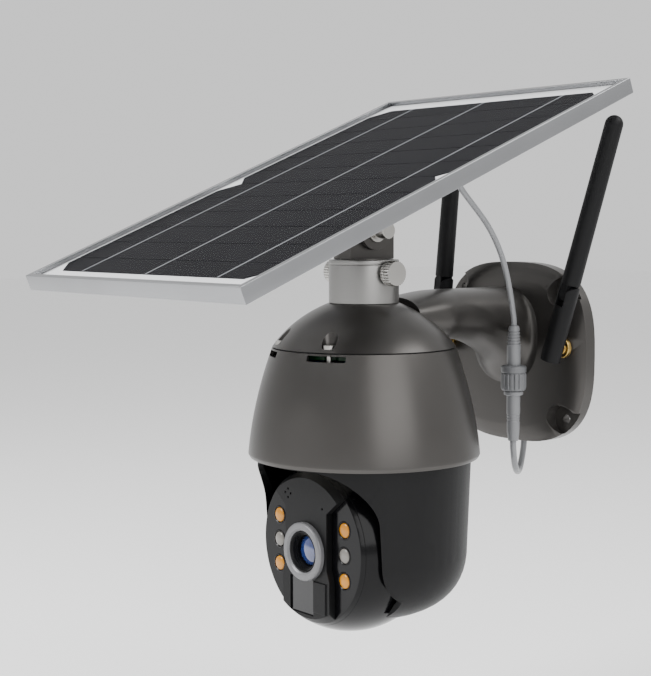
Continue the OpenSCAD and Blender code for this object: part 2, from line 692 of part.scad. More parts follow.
module sensor_window() color([0.05, 0.05, 0.07]) at_ball()
    translate([window_at - window_w / 2 + 0.1, -face_forward - plate_out + 0.8, foot_low + 0.1])
        cube([window_w - 0.2, plate_out - 0.9, 16.6]);

module service_cover() color(black) at_ball()
    translate([window_at + window_w / 2 + 0.3, -face_forward - plate_out - 0.6, foot_low + 2.1])
        cube([9, plate_out + 0.5, 14.6]);

module lens_ring() color([0.45, 0.45, 0.46]) at_ball() translate([0, 0, lens_drop])
    facing(face_forward + plate_out) difference() {
        translate([0, 0, gap]) cylinder(r = lens_ring_r, h = ring_out - plate_out - gap);
        translate([0, 0, -1]) cylinder(r = lens_bore, h = 10);
    }

module lens_barrel() color(black) at_ball() translate([0, 0, lens_drop]) facing(barrel_back) difference() {
    cylinder(r = lens_bore - 0.2, h = face_forward + ring_out - barrel_back - 0.8);
    translate([0, 0, 4]) cylinder(r = glass_r + 0.1, h = 30);
    translate([0, 0, -1]) cylinder(r = 5, h = 10);
}
barrel_back = 11;
glass_r = 7.3;

module lens_glass() color([0.1, 0.15, 0.3]) at_ball() translate([0, 0, lens_drop]) facing(face_forward - 1.4)
    intersection() {
        cylinder(r = glass_r, h = 4);
        translate([0, 0, -9]) sphere(r = 13, $fn = 96);
    }

module sensor_board() color(green) at_ball()
    translate([-13, -barrel_back + gap, lens_drop - 13]) cube([26, 1.6, 26]);

module lamp_board() color(green) at_ball() facing(face_forward - face_t - 2.2) difference() {
    cylinder(r = 30, h = 1.2);
    translate([0, lens_drop, -1]) cylinder(r = lens_bore, h = 4);
}

module lamp_at(sx, i) at_ball() translate([sx * lamp_x, 0, i * lamp_pitch])
    facing(face_forward - face_t - 1 + gap) {
    cylinder(r = lamp_r, h = face_t + 1.4);
    translate([0, 0, face_t + 1.4]) cylinder(r1 = lamp_r, r2 = lamp_r - 1, h = 0.6);
}
module warm_lamps() color([0.9, 0.7, 0.2]) for (sx = [-1, 1]) for (i = [-1, 1]) lamp_at(sx, i);
module infrared_lamps() color([0.6, 0.6, 0.6]) for (sx = [-1, 1]) lamp_at(sx, 0);

// The collar takes the post, and two thumb screws hold it
thumb_drop = 6.2;
thumb_head = 5.6;
thumb_shank_r = 2.5;
post_drop = 6.2;

module collar() color(steel) at_axis() difference() {
    translate([0, 0, cap_top + gap]) cylinder(r = collar_r, h = collar_h - gap);
    translate([0, 0, cap_top + collar_floor]) cylinder(r = post_r + running, h = collar_h);
    translate([0, 0, cap_top - 1]) cylinder(r = 4.2, h = 10);
    for (a = [60 : 120 : 300]) rotate(a) translate([collar_screw_r, 0, cap_top - 1]) cylinder(r = 1.7, h = 8);
    translate([0, 0, collar_top - thumb_drop]) across(thumb_shank_r + running, 60);
}

module thumb_screw(side) color(steel) at_axis(collar_top - thumb_drop) mirror([side > 0 ? 0 : 1, 0, 0]) {
    translate([post_r + 0.1, 0, 0]) across(thumb_shank_r, collar_r - post_r + 1.5, centre = false);
    translate([collar_r + 1.2, 0, 0]) across(thumb_r, thumb_head, centre = false);
}
module thumb_screw_right() thumb_screw(1);
module thumb_screw_left() thumb_screw(-1);

post_proud = 0.6;

module panel_post() color(grey) at_axis() difference() {
    union() {
        translate([0, 0, cap_top + post_drop]) cylinder(r = post_r, h = collar_h - post_drop + post_proud);
        translate([-tongue_w / 2, -tongue_d / 2, collar_top + post_proud / 2])
            cube([tongue_w, tongue_d, pivot_h - post_proud / 2]);
        translate([0, 0, pivot_z]) across(tongue_d / 2, tongue_w);
    }
    translate([0, 0, pivot_z]) across(bolt_r + running, 60);
}

// The panel's bracket: a foot under the cross rail with two lugs that straddle the tongue
lug_in = tongue_w / 2 + side_gap;
bolt_seat = lug_in + lug_t;
foot_t = 2.5;
foot_half_w = 18;
foot_screw_x = 13.5;
foot_screw_u = 12;
ledge = 1.2;
laminate_t = glass_t + cell_t + sheet_t + 2 * gap;
rail_level = laminate_t + rail_t;

module foot_screw_holes(r) for (sx = [-1, 1]) for (su = [-1, 1])
    translate([sx * foot_screw_x, bracket_back + su * foot_screw_u, -rail_level - 10]) cylinder(r = r, h = 20);

module panel_bracket() color(grey) at_panel() difference() {
    union() {
        translate([-foot_half_w, bracket_back - rail_l / 2 + 1, -rail_level - gap - foot_t])
            cube([2 * foot_half_w, rail_l - 2, foot_t]);
        for (sx = [-1, 1]) translate([sx * (lug_in + lug_t / 2), bracket_back, -panel_lift]) {
            translate([-lug_t / 2, -lug_r, 0]) cube([lug_t, 2 * lug_r, panel_lift - rail_level - foot_t]);
            across(lug_r, lug_t);
        }
    }
    translate([0, bracket_back, -panel_lift]) across(bolt_r + running, 60);
    foot_screw_holes(1.7);
}

module tilt_bolt() color(steel) translate([0, -arm_reach, pivot_z]) {
    translate([-bolt_seat - 4.5, 0, 0]) across(bolt_r, 2 * bolt_seat + 9, centre = false);
    translate([bolt_seat + 0.2, 0, 0]) across(5.3, 1, centre = false);
    translate([bolt_seat + 1.2, 0, 0]) across(3.4, 2, centre = false);
    translate([bolt_seat + 3.2, 0, 0]) across(3.8, 5.6, centre = false);
}

module tilt_nut() color(steel) translate([-bolt_seat - 3.7, -arm_reach, pivot_z]) difference() {
    rotate([0, 90, 0]) cylinder(r = 5, h = 3.5, $fn = 6);
    across(bolt_r + running, 20);
}

frame_in_w = panel_w / 2 - lip_w;
frame_in_l = panel_l / 2 - lip_w;
groove = 1.6;

module slab(half_w, half_l, low, high)
    translate([-half_w, -half_l, low]) cube([2 * half_w, 2 * half_l, high - low]);

module panel_frame() color(steel) at_panel() difference() {
    slab(panel_w / 2, panel_l / 2, frame_up - frame_d, frame_up);
    slab(frame_in_w, frame_in_l, -frame_d, frame_up + 1);
    slab(frame_in_w + groove, frame_in_l + groove, -laminate_t, gap);
    slab(frame_in_w + groove - 0.4, frame_in_l + groove - 0.4, -frame_d, -laminate_t - ledge);
}

module layer(high, low) slab(frame_in_w + groove - glass_play, frame_in_l + groove - glass_play, low, high);
module panel_glass() color([0.8, 0.85, 0.9, 0.4]) at_panel() layer(0, -glass_t);
module back_sheet() color("white") at_panel() layer(-glass_t - cell_t - gap, -glass_t - cell_t - gap - sheet_t);

// Two blocks of cell strips; each block's corners are cut
block_l = (strips - 1) * strip_pitch + end_strip;
module cell_block() linear_extrude(cell_t - gap) polygon([
    [-cell_w / 2 + cell_chamfer, 0], [cell_w / 2 - cell_chamfer, 0],
    [cell_w / 2, cell_chamfer], [cell_w / 2, block_l - cell_chamfer],
    [cell_w / 2 - cell_chamfer, block_l], [-cell_w / 2 + cell_chamfer, block_l],
    [-cell_w / 2, block_l - cell_chamfer], [-cell_w / 2, cell_chamfer]
]);

module solar_cells() color([0.06, 0.06, 0.07]) at_panel() translate([0, 0, -glass_t - cell_t])
    for (half = [0, 1]) mirror([0, half, 0]) difference() {
        cell_block();
        for (i = [0 : strips]) translate([-cell_w / 2 - 1, min(i * strip_pitch, block_l) - 0.3, -1])
            cube([cell_w + 2, 0.6, 2]);
    }

module cross_rail() color(steel) at_panel() difference() {
    translate([-frame_in_w + 0.1, bracket_back - rail_l / 2, -rail_level])
        cube([2 * frame_in_w - 0.2, rail_l, rail_t]);
    foot_screw_holes(1.4);
}

module junction_box() color(black) at_panel()
    translate([box_x - box_w / 2, box_back - box_l, -laminate_t - box_h]) cube([box_w, box_l, box_h]);

// The gland's long sleeve carries the lead clear of the rail
module cable_gland() color(black) at_panel() translate([box_x, box_back + gap, gland_level]) rotate([-90, 0, 0])
    difference() {
        union() {
            cylinder(r = 4.5, h = 4);
            translate([0, 0, 4]) cylinder(r1 = 3.6, r2 = 2.4, h = gland_l - 4);
        }
        translate([0, 0, -1]) cylinder(d = lead_d + 0.1, h = gland_l + 2);
    }

module panel_lead() color([0.5, 0.5, 0.5]) tube(lead_route, lead_d, lead_side);

module lead_plug() color([0.3, 0.3, 0.3]) translate([cord_x, cord_y, plug_top - plug_l]) {
    translate([0, 0, plug_l - 9]) cylinder(r1 = 3.4, r2 = 2.8, h = 9);
    cylinder(r = 3.4, h = plug_l - 9);
    translate([0, 0, -9]) cylinder(r = 2.2, h = 9.1);
}

module lock_ring() color([0.3, 0.3, 0.3]) translate([cord_x, cord_y, ring_top - ring_l]) difference() {
    union() {
        cylinder(r = lock_r - 0.6, h = ring_l);
        for (a = [0 : 36 : 324]) rotate(a) translate([lock_r - 1.5, -0.9, 1.4]) cube([1.5, 1.8, ring_l - 2]);
    }
    translate([0, 0, -1]) cylinder(r = 3.4 + running, h = ring_l + 2);
}

socket_top = plug_top - plug_l - gap;
module pigtail_socket() color([0.3, 0.3, 0.3]) translate([cord_x, cord_y, socket_bottom]) difference() {
    union() {
        cylinder(r1 = 3, r2 = 3.4, h = 12);
        translate([0, 0, 12]) cylinder(r = 3.4, h = socket_top - socket_bottom - 12);
        translate([0, 0, ring_top - ring_l - socket_bottom - 2.3]) cylinder(r = 4.8, h = 2);
    }
    translate([0, 0, socket_top - socket_bottom - 10]) cylinder(r = 2.2 + running, h = 20);
}

module pigtail() color([0.5, 0.5, 0.5]) tube(pigtail_route, pigtail_d, pigtail_side);

module antenna_sockets() color([0.55, 0.5, 0.35]) for (sx = [-1, 1])
    translate([sx * antenna_x, 0, antenna_z]) rotate([90, 0, 0]) {
        translate([0, 0, 2]) cylinder(r = 3, h = -antenna_y - 1);
        translate([0, 0, plate_depth + gap]) cylinder(r = socket_r, h = 2.6);
    }

// An antenna stands on its socket: the base turns about Y, the blade folds forwards
module at_antenna(sx, lean) translate([sx * antenna_x, antenna_y, antenna_z]) rotate([0, sx * lean, 0]) children();

base_r = 5;
slot_half = 2.2;
hinge_pin_r = 1.4;
module antenna_base(sx, lean) color(black) at_antenna(sx, lean) {
    difference() {
        union() {
            translate([0, 0, -6]) cylinder(r = base_r, h = antenna_base_l + 0.4);
            intersection() {
                translate([0, 0, antenna_base_l - 8]) cylinder(r = base_r, h = 8 + base_r);
                union() {
                    translate([0, 0, antenna_base_l]) across(base_r, 2 * base_r);
                    translate([-base_r, -base_r, antenna_base_l - 8]) cube([2 * base_r, 2 * base_r, 8]);
                }
            }
        }
        translate([-slot_half, -10, antenna_base_l - base_r - 0.3]) cube([2 * slot_half, 20, 20]);
        translate([0, -1.3, 0]) rotate([-90, 0, 0]) cylinder(r = 3 + running, h = 20);
    }
    translate([0, 0, antenna_base_l]) across(hinge_pin_r, 2 * slot_half + 1);
}

module antenna_blade(sx, lean) color(black) at_antenna(sx, lean) translate([0, 0, antenna_base_l]) {
    tip_r = antenna_r - 0.4;
    difference() {
        union() {
            across(4.4, 2 * slot_half - 0.6);
            translate([-slot_half + 0.3, -4.2, 0]) cube([2 * slot_half - 0.6, 8.4, 6]);
        }
        across(hinge_pin_r + running, 20);
    }
    translate([0, 0, 5.8]) cylinder(r1 = antenna_r, r2 = tip_r, h = antenna_blade_l - 5.8 - tip_r);
    translate([0, 0, antenna_blade_l - tip_r]) sphere(r = tip_r, $fn = 48);
}

module antenna_base_right() antenna_base(1, lean_right);
module antenna_blade_right() antenna_blade(1, lean_right);
module antenna_base_left() antenna_base(-1, lean_left);
module antenna_blade_left() antenna_blade(-1, lean_left);

wall_plate();
wall_gasket();
arm_cap();
arm_screws();
cap_seal();
shell_screws();
dome_shell();
inner_deck();
main_board();
battery_cells();
battery_holder();
speaker();
pan_motor();
pan_pinion();
pan_bearing();
turntable();
pan_clip();
fork_shell();
fork_screws();
tilt_bushes();
tilt_pin();
tilt_gear();
tilt_motor();
tilt_pinion();
ball_shell();
face_plate();
centre_plate();
lens_ring();
lens_barrel();
lens_glass();
sensor_board();
lamp_board();
warm_lamps();
infrared_lamps();
sensor_window();
service_cover();
collar();
thumb_screw_right();
thumb_screw_left();
panel_post();
panel_bracket();
tilt_bolt();
tilt_nut();
cross_rail();
panel_frame();
panel_glass();
solar_cells();
back_sheet();
junction_box();
cable_gland();
panel_lead();
lead_plug();
lock_ring();
pigtail_socket();
pigtail();
antenna_sockets();
antenna_base_right();
antenna_blade_right();
antenna_base_left();
antenna_blade_left();
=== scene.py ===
# %% [markdown]
# # Solar-powered pan and tilt security camera
# The camera hangs from a wall arm: a domed shell carries a fork, and the fork carries a ball with the lens.
# A post on top of the shell holds a tilting solar panel, and two antennas stand on the wall plate.
# Everything is in metres in the object's own frame: the wall is the plane Y = 0, the camera looks along -Y.
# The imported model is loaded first, because every piece rides on one of its bodies.

# %% Load the frame
from math import cos, hypot, pi, radians, sin, sqrt

import bmesh
import bpy
from mathutils import Matrix, Vector


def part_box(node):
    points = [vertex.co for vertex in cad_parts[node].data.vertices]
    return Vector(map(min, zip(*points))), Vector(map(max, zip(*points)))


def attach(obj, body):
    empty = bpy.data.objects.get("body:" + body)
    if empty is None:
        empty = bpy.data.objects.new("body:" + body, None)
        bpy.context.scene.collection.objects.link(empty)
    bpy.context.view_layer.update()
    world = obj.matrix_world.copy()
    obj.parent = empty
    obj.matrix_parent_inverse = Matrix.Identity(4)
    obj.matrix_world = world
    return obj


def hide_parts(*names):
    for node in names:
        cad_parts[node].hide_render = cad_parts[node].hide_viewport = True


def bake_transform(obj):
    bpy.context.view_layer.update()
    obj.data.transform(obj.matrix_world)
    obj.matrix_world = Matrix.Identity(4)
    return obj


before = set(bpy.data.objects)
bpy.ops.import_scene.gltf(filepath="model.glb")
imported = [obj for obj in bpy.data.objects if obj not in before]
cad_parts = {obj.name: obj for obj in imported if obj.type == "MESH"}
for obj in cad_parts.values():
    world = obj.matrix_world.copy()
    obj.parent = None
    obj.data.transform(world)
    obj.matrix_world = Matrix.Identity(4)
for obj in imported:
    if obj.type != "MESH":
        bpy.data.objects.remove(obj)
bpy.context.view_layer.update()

MM = 0.001

# %% [markdown]
# ## Where things are
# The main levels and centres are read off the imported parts, so the pieces below sit where the solids are.

# %% Levels and centres, in millimetres
def centre_of(node):
    low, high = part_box(node)
    return (low + high) / 2 / MM

def low_of(node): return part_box(node)[0] / MM
def high_of(node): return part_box(node)[1] / MM

upright_y = centre_of("collar").y
cap_top = low_of("collar").z - 0.05
collar_top = high_of("collar").z
pivot = Vector((0, upright_y, centre_of("tilt_nut").z))
ball = Vector((0, centre_of("tilt_bushes").y, centre_of("tilt_bushes").z))
seam_z = 7.7
print("upright at y", round(upright_y, 2), "cap top", round(cap_top, 2), "pivot", pivot, "ball", ball)

PANEL_TILT = 22
panel_place = (Matrix.Translation(pivot) @ Matrix.Rotation(radians(PANEL_TILT), 4, "X")
               @ Matrix.Translation((0, -10.2, 30.6)))
ball_place = Matrix.Translation(ball)
upright = Matrix.Translation((0, upright_y, 0))

# %% [markdown]
# ## The camera
# A long lens from the front right, a little above the ball, gives the three-quarter view of the camera
# with the panel seen from just above its face.

# %% The camera
IMAGE_W, IMAGE_H, FOCAL_PX = 651, 676, 1432.0
view_camera = bpy.data.objects.new("view_camera", bpy.data.cameras.new("view_camera"))
bpy.context.scene.collection.objects.link(view_camera)
view_camera.data.sensor_width = 36
view_camera.data.lens = FOCAL_PX * 36 / max(IMAGE_W, IMAGE_H)
view_camera.data.clip_start, view_camera.data.clip_end = 0.02, 20
camera_at = Vector((508.0, -550.1, 65.2)) * MM
TURN, LOOK_DOWN, ROLL = 50.51, 4.52, -0.15
view_camera.matrix_world = (Matrix.Translation(camera_at) @ Matrix.Rotation(radians(TURN), 4, "Z")
                            @ Matrix.Rotation(radians(90 - LOOK_DOWN), 4, "X")
                            @ Matrix.Rotation(radians(ROLL), 4, "Z"))
bpy.context.scene.camera = view_camera
print("lens", round(view_camera.data.lens, 2), "mm")

# %% [markdown]
# ## Colours and nodes
# Colours are chosen as sRGB hex values, and one function turns them to the linear values that shaders use.
# One small function adds a node, sets it, and links it, so each material reads as a short recipe.

# %% Two helpers for materials
def linear(hex_colour):
    channels = [int(hex_colour[i:i + 2], 16) / 255 for i in (1, 3, 5)]
    return [c / 12.92 if c <= 0.04045 else ((c + 0.055) / 1.055) ** 2.4 for c in channels] + [1.0]

def add(material, kind, links=None, **settings):
    made = material.node_tree.nodes.new(kind)
    for key, value in settings.items():
        name = key.replace("_", " ")
        found = [s for s in made.inputs if s.name.lower() == name.lower()]
        if found:
            found[0].default_value = value
        else:
            setattr(made, key, value)
    for key, source in (links or {}).items():
        target = made.inputs[key]
        material.node_tree.links.new(source, target)
    return made

def coat_of(name, roughness, metallic=0.0, ior=1.5):
    material = bpy.data.materials.new(name)
    material.use_nodes = True
    shader = material.node_tree.nodes["Principled BSDF"]
    shader.inputs["Roughness"].default_value = roughness
    shader.inputs["Metallic"].default_value = metallic
    if not metallic:
        shader.inputs["IOR"].default_value = ior
    return material, shader

# %% [markdown]
# Most of the surfaces are moulded, cast or drawn, and differ in two things: how their colour drifts over
# the piece, and how fine their grain is. This recipe mixes two near colours with a slow noise, and puts a
# fine noise into the roughness and the bump. The grain is given in millimetres, and a grain too fine to
# show is drawn as coarse as it needs to show.

# %% A recipe for grained surfaces
def grained(name, colour, drift, roughness, grain_mm, bump, metallic=0.0, ior=1.5, spread=0.06,
            stretch=(1, 1, 1)):
    material, shader = coat_of(name, roughness, metallic, ior)
    where = add(material, "ShaderNodeTexCoord").outputs["Object"]
    drawn = add(material, "ShaderNodeMapping", {"Vector": where}, Scale=stretch).outputs["Vector"]
    slow = add(material, "ShaderNodeTexNoise", {"Vector": where}, Scale=1 / (28 * MM), Detail=2.0)
    mixed = add(material, "ShaderNodeMix", {"Factor": slow.outputs["Fac"]}, data_type="RGBA")
    mixed.inputs[6].default_value, mixed.inputs[7].default_value = linear(colour), linear(drift)
    material.node_tree.links.new(mixed.outputs[2], shader.inputs["Base Color"])
    fine = add(material, "ShaderNodeTexNoise", {"Vector": drawn}, Scale=1 / (grain_mm * MM), Detail=3.0)
    ranged = add(material, "ShaderNodeMapRange", {"Value": fine.outputs["Fac"]},
                 To_Min=roughness - spread, To_Max=roughness + spread)
    material.node_tree.links.new(ranged.outputs["Result"], shader.inputs["Roughness"])
    bumped = add(material, "ShaderNodeBump", {"Height": fine.outputs["Fac"]},
                 Strength=bump, Distance=0.05 * MM)
    material.node_tree.links.new(bumped.outputs["Normal"], shader.inputs["Normal"])
    return material

# %% [markdown]
# ## Making meshes
# Three ways of making cover nearly every piece: turning a profile about an axis, skinning rings of points,
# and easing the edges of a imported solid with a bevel. Sizes are in millimetres until the mesh is made.

# %% A mesh becomes a piece
def smooth(obj, angle=32):
    obj.data.polygons.foreach_set("use_smooth", [True] * len(obj.data.polygons))
    obj.data.set_sharp_from_angle(angle=radians(angle))

def settle(obj):
    bpy.context.view_layer.update()
    made = bpy.data.meshes.new_from_object(obj.evaluated_get(bpy.context.evaluated_depsgraph_get()))
    obj.modifiers.clear()
    obj.data = made
    return obj

def solid(name, verts, faces, place=None):
    mesh = bpy.data.meshes.new(name)
    place = place or Matrix.Identity(4)
    mesh.from_pydata([tuple((place @ Vector(v)) * MM) for v in verts], [], faces)
    work = bmesh.new()
    work.from_mesh(mesh)
    bmesh.ops.remove_doubles(work, verts=work.verts, dist=0.0005 * MM)
    bmesh.ops.dissolve_degenerate(work, edges=work.edges, dist=0.0005 * MM)
    bmesh.ops.recalc_face_normals(work, faces=work.faces)
    work.to_mesh(mesh)
    work.free()
    obj = bpy.data.objects.new(name, mesh)
    bpy.context.scene.collection.objects.link(obj)
    return obj

def kept(obj, material, body, stands_for=(), angle=32):
    obj.data.materials.clear()
    obj.data.materials.append(material)
    smooth(obj, angle)
    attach(obj, body)
    if stands_for:
        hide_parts(*stands_for)
    return obj

def joined(name, *objs):
    work = bmesh.new()
    for o in objs:
        work.from_mesh(o.data)
        bpy.data.objects.remove(o)
    mesh = bpy.data.meshes.new(name)
    work.to_mesh(mesh)
    work.free()
    obj = bpy.data.objects.new(name, mesh)
    bpy.context.scene.collection.objects.link(obj)
    return obj

# %% Turning, skinning, extruding
def fillet(points, steps=5):
    """Points are (r, z) or (r, z, radius): a third value rounds that corner."""
    out, n = [], len(points)
    for i, p in enumerate(points):
        if len(p) < 3:
            out.append(Vector(p))
            continue
        here, back, ahead = Vector(p[:2]), Vector(points[i - 1][:2]), Vector(points[(i + 1) % n][:2])
        a = here + (back - here).normalized() * min(p[2], (back - here).length * 0.49)
        b = here + (ahead - here).normalized() * min(p[2], (ahead - here).length * 0.49)
        shares = [k / steps for k in range(steps + 1)]
        out += [(1 - t) ** 2 * a + 2 * t * (1 - t) * here + t * t * b for t in shares]
    return out

def turned(name, loop, place=None, steps=128, teeth=None):
    """Turns a closed loop of (r, z) about Z. teeth(angle, r, z) may change r, for knurls and flutes."""
    loop = fillet(loop)
    verts, faces, n = [], [], len(loop)
    for r, z in loop:
        for k in range(steps):
            a = 2 * pi * k / steps
            q = teeth(a, r, z) if teeth else r
            verts.append((q * cos(a), q * sin(a), z))
    for i in range(n):
        j = (i + 1) % n
        for k in range(steps):
            m = (k + 1) % steps
            faces.append((i * steps + k, i * steps + m, j * steps + m, j * steps + k))
    return solid(name, verts, faces, place)

def skinned(name, rings, place=None, caps=True):
    verts = [v for ring in rings for v in ring]
    n = len(rings[0])
    faces = [(i * n + k, i * n + (k + 1) % n, (i + 1) * n + (k + 1) % n, (i + 1) * n + k)
             for i in range(len(rings) - 1) for k in range(n)]
    if caps:
        faces += [tuple(range(n)), tuple((len(rings) - 1) * n + k for k in range(n))]
    return solid(name, verts, faces, place)

def slab(name, outline, z0, z1, place=None, edge=0.0, segments=2):
    """An outline in X and Y between two heights, with its edges rounded by edge."""
    obj = skinned(name, [[(x, y, z0) for x, y in outline], [(x, y, z1) for x, y in outline]], place)
    return eased(obj, edge, segments) if edge else obj

def eased(obj, edge, segments=2, angle=32):
    rounding = obj.modifiers.new("edge", "BEVEL")
    rounding.width, rounding.segments = edge * MM, segments
    rounding.limit_method, rounding.angle_limit = "ANGLE", radians(angle)
    rounding.use_clamp_overlap = True
    return settle(obj)

def cut(obj, *cutters):
    for cutter in cutters:
        taking = obj.modifiers.new("cut", "BOOLEAN")
        taking.operation, taking.object, taking.solver = "DIFFERENCE", cutter, "EXACT"
        settle(obj)
        bpy.data.objects.remove(cutter)
    return obj

def from_packed(node, edge, segments=2, angle=32):
    """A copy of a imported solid, welded and with its sharp edges rounded."""
    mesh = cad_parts[node].data.copy()
    work = bmesh.new()
    work.from_mesh(mesh)
    bmesh.ops.remove_doubles(work, verts=work.verts, dist=0.002 * MM)
    bmesh.ops.dissolve_limit(work, angle_limit=radians(0.6), verts=work.verts, edges=work.edges)
    work.to_mesh(mesh)
    work.free()
    mesh.materials.clear()
    if mesh.has_custom_normals:
        mesh.attributes.remove(mesh.attributes["custom_normal"])
    obj = bpy.data.objects.new(node + "_piece", mesh)
    bpy.context.scene.collection.objects.link(obj)
    if edge:
        eased(obj, edge, segments, angle)
    weighting = obj.modifiers.new("weighting", "WEIGHTED_NORMAL")
    weighting.keep_sharp = True
    smooth(obj, angle)
    return settle(obj)

def along_x(at, flip=False):
    return Matrix.Translation(at) @ Matrix.Rotation(radians(-90 if flip else 90), 4, "Y")

def along_minus_y(at):
    return Matrix.Translation(at) @ Matrix.Rotation(radians(90), 4, "X")

def quadratic(a, k, b, n):
    a, k, b = Vector(a), Vector(k), Vector(b)
    return [(1 - t) ** 2 * a + 2 * t * (1 - t) * k + t * t * b for t in [i / n for i in range(n + 1)]]

# %% [markdown]
# ## The cords
# The panel's lead leaves the junction box through a long moulded sleeve, arches behind the post and drops
# to a round connector. From the other half of the connector a short pigtail makes a U and goes up into the
# wall plate. Both are soft PVC-jacketed cords of about 3 mm. Each is a tube swept along the same points as
# its solid, smoothed with a spline. The lead crosses two joints, and it is made in two lengths that meet on
# the post.

# %% The cords' jacket
cord_jacket = grained("pvc_cord_jacket", "#7d7e80", "#737476", 0.3, 0.9, 0.25, ior=1.53)

# %% Swept tubes
LEAD = [(38, -99.2, 88.2), (38, -96, 89.4), (37.8, -92, 90.1), (37.3, -88, 88.6), (36.6, -84.5, 86.1),
        (35.7, -80, 82.1), (34.9, -75.5, 78.4), (34, -70, 74.2), (33.1, -64.5, 70), (32.2, -59, 65.4),
        (31.3, -54, 60.4), (30.4, -49.5, 55), (29.5, -45.5, 49.3), (28.5, -42, 43.3), (27.6, -39, 37.1),
        (26.7, -36.4, 30.8), (25.7, -34, 24.5), (25.15, -32.5, 20), (25, -32, 17.5), (25, -32, 15.55)]
PIGTAIL = [(6.2, -3.6, -44.5), (6.4, -4, -47.8), (7.2, -5.4, -51.2), (8.7, -7.8, -54.5), (10.6, -10.7, -57.1),
           (12.8, -13.9, -58.8), (15.2, -17.4, -59.4), (17.6, -20.8, -59), (19.9, -24.2, -57.3),
           (21.8, -27, -54.9), (23.3, -29.2, -52), (24.3, -30.7, -49), (24.8, -31.6, -46), (25, -32, -43.5),
           (25, -32, -41.55)]

def splined(points, per_span=4):
    pts = [Vector(p) for p in points]
    pts = [2 * pts[0] - pts[1]] + pts + [2 * pts[-1] - pts[-2]]
    out = []
    for i in range(1, len(pts) - 2):
        a, b, c, d = pts[i - 1:i + 3]
        for k in range(per_span):
            t = k / per_span
            out.append(0.5 * (2 * b + (c - a) * t + (2 * a - 5 * b + 4 * c - d) * t ** 2
                              + (3 * b - a - 3 * c + d) * t ** 3))
    return out + [pts[-2]]

def tube(name, path, d, side, sides=16):
    rings = []
    for i, p in enumerate(path):
        along = (path[min(i + 1, len(path) - 1)] - path[max(i - 1, 0)]).normalized()
        v = along.cross(Vector(side)).normalized()
        u = v.cross(along)
        turns = [2 * pi * k / sides for k in range(sides)]
        rings.append([p + d / 2 * (cos(a) * u + sin(a) * v) for a in turns])
    return skinned(name, rings)

def length_of(path): return sum((b - a).length for a, b in zip(path, path[1:]))

lead_path = splined(LEAD)
split = 8 * 4
upper_path, lower_path, pigtail_path = lead_path[:split + 1], lead_path[split:], splined(PIGTAIL)
lead_upper = tube("lead_upper", upper_path, 2.8, (1, 0, 0))
lead_lower = tube("lead_lower", lower_path, 2.8, (1, 0, 0))
pigtail_cord = tube("pigtail_cord", pigtail_path, 3.2, (0.82, 0.57, 0))
for piece in (lead_upper, lead_lower, pigtail_cord):
    piece.data.materials.append(cord_jacket)
    smooth(piece, 60)
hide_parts("panel_lead")
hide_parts("panel_lead")
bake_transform(lead_upper)
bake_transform(lead_lower)
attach(pigtail_cord, "mount_body")
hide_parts("pigtail")
print("lead", round(length_of(lead_path)), "mm, pigtail", round(length_of(pigtail_path)), "mm")

# %% [markdown]
# ## The connector
# A waterproof two-part cord connector: a tapered plug with grip grooves, a fluted lock ring that turns, and
# a tapered socket. They are turned from profiles, and the ring's flutes are cut with a function of angle.

# %% Connector pieces
connector_pvc = grained("moulded_connector_pvc", "#747577", "#6a6b6d", 0.4, 0.8, 0.25, ior=1.53)
fluted_nylon = grained("moulded_nylon_ring", "#626365", "#58595b", 0.38, 0.9, 0.2, ior=1.53)
plug_at = Matrix.Translation((25, -32, 0))
grip = [(3.4, 5.6, 0.2)]
for k in range(5):
    z = 6.3 + 1.5 * k
    grip += [(3.4 - 0.11 * k, z, 0.1), (2.95 - 0.11 * k, z + 0.1, 0.1), (2.95 - 0.11 * k, z + 0.8, 0.1),
             (3.38 - 0.11 * k, z + 0.9, 0.1)]
plug = turned("lead_plug_body", [(0, -13.5), (2.2, -13.5, 0.3), (2.2, -4.4), (3.4, -4.4, 0.2)] + grip
              + [(2.65, 14.6, 0.4), (2.3, 15.5, 0.3), (0, 15.5)], plug_at, 64)
kept(plug, connector_pvc, "mount_body", ["lead_plug"])
def fluted(a, r, z):
    on_the_grip = r > 6.1 and z < -7.8
    return r - (0.45 * max(0.0, cos(16 * a)) ** 2 if on_the_grip else 0)

ring = turned("lock_ring_fluted", [(3.46, -4), (5.6, -4, 0.5), (6.25, -4.8, 0.3), (6.25, -7.2, 0.3),
                                   (5.7, -7.6, 0.2), (6.25, -8.2, 0.3), (6.25, -15, 0.3),
                                   (5.7, -16.4, 0.5), (3.46, -16.4)],
              plug_at, 160, teeth=fluted)
kept(ring, fluted_nylon, "connector_ring", ["lock_ring"])
socket = turned("pigtail_socket_body",
                [(2.27, -4.6), (3.38, -4.6, 0.2), (3.38, -16.7), (4.75, -16.8, 0.4), (4.75, -18.6, 0.4),
                 (3.38, -18.8, 0.2), (3.35, -28), (3.05, -28.4, 0.1), (3.3, -29.2, 0.1), (3.0, -29.8, 0.1),
                 (3.25, -30.6, 0.1), (2.95, -31.2, 0.1), (3.2, -32, 0.1), (3.1, -37), (2.5, -41.5, 0.4),
                 (0, -41.5), (0, -14.5), (2.27, -14.5)], plug_at, 64)
kept(socket, connector_pvc, "mount_body", ["pigtail_socket"])

# %% [markdown]
# ## Materials
# The shell, cap, arm, plate and post are ABS moulded in a gunmetal grey with a fine metallic fleck and a
# satin face. The fork, the ball and the antennas are black polycarbonate with a spark-eroded, matt grain.
# The panel frame is anodised aluminium, the collar is bead-blasted zinc, and the screws are satin
# nickel-plated steel.

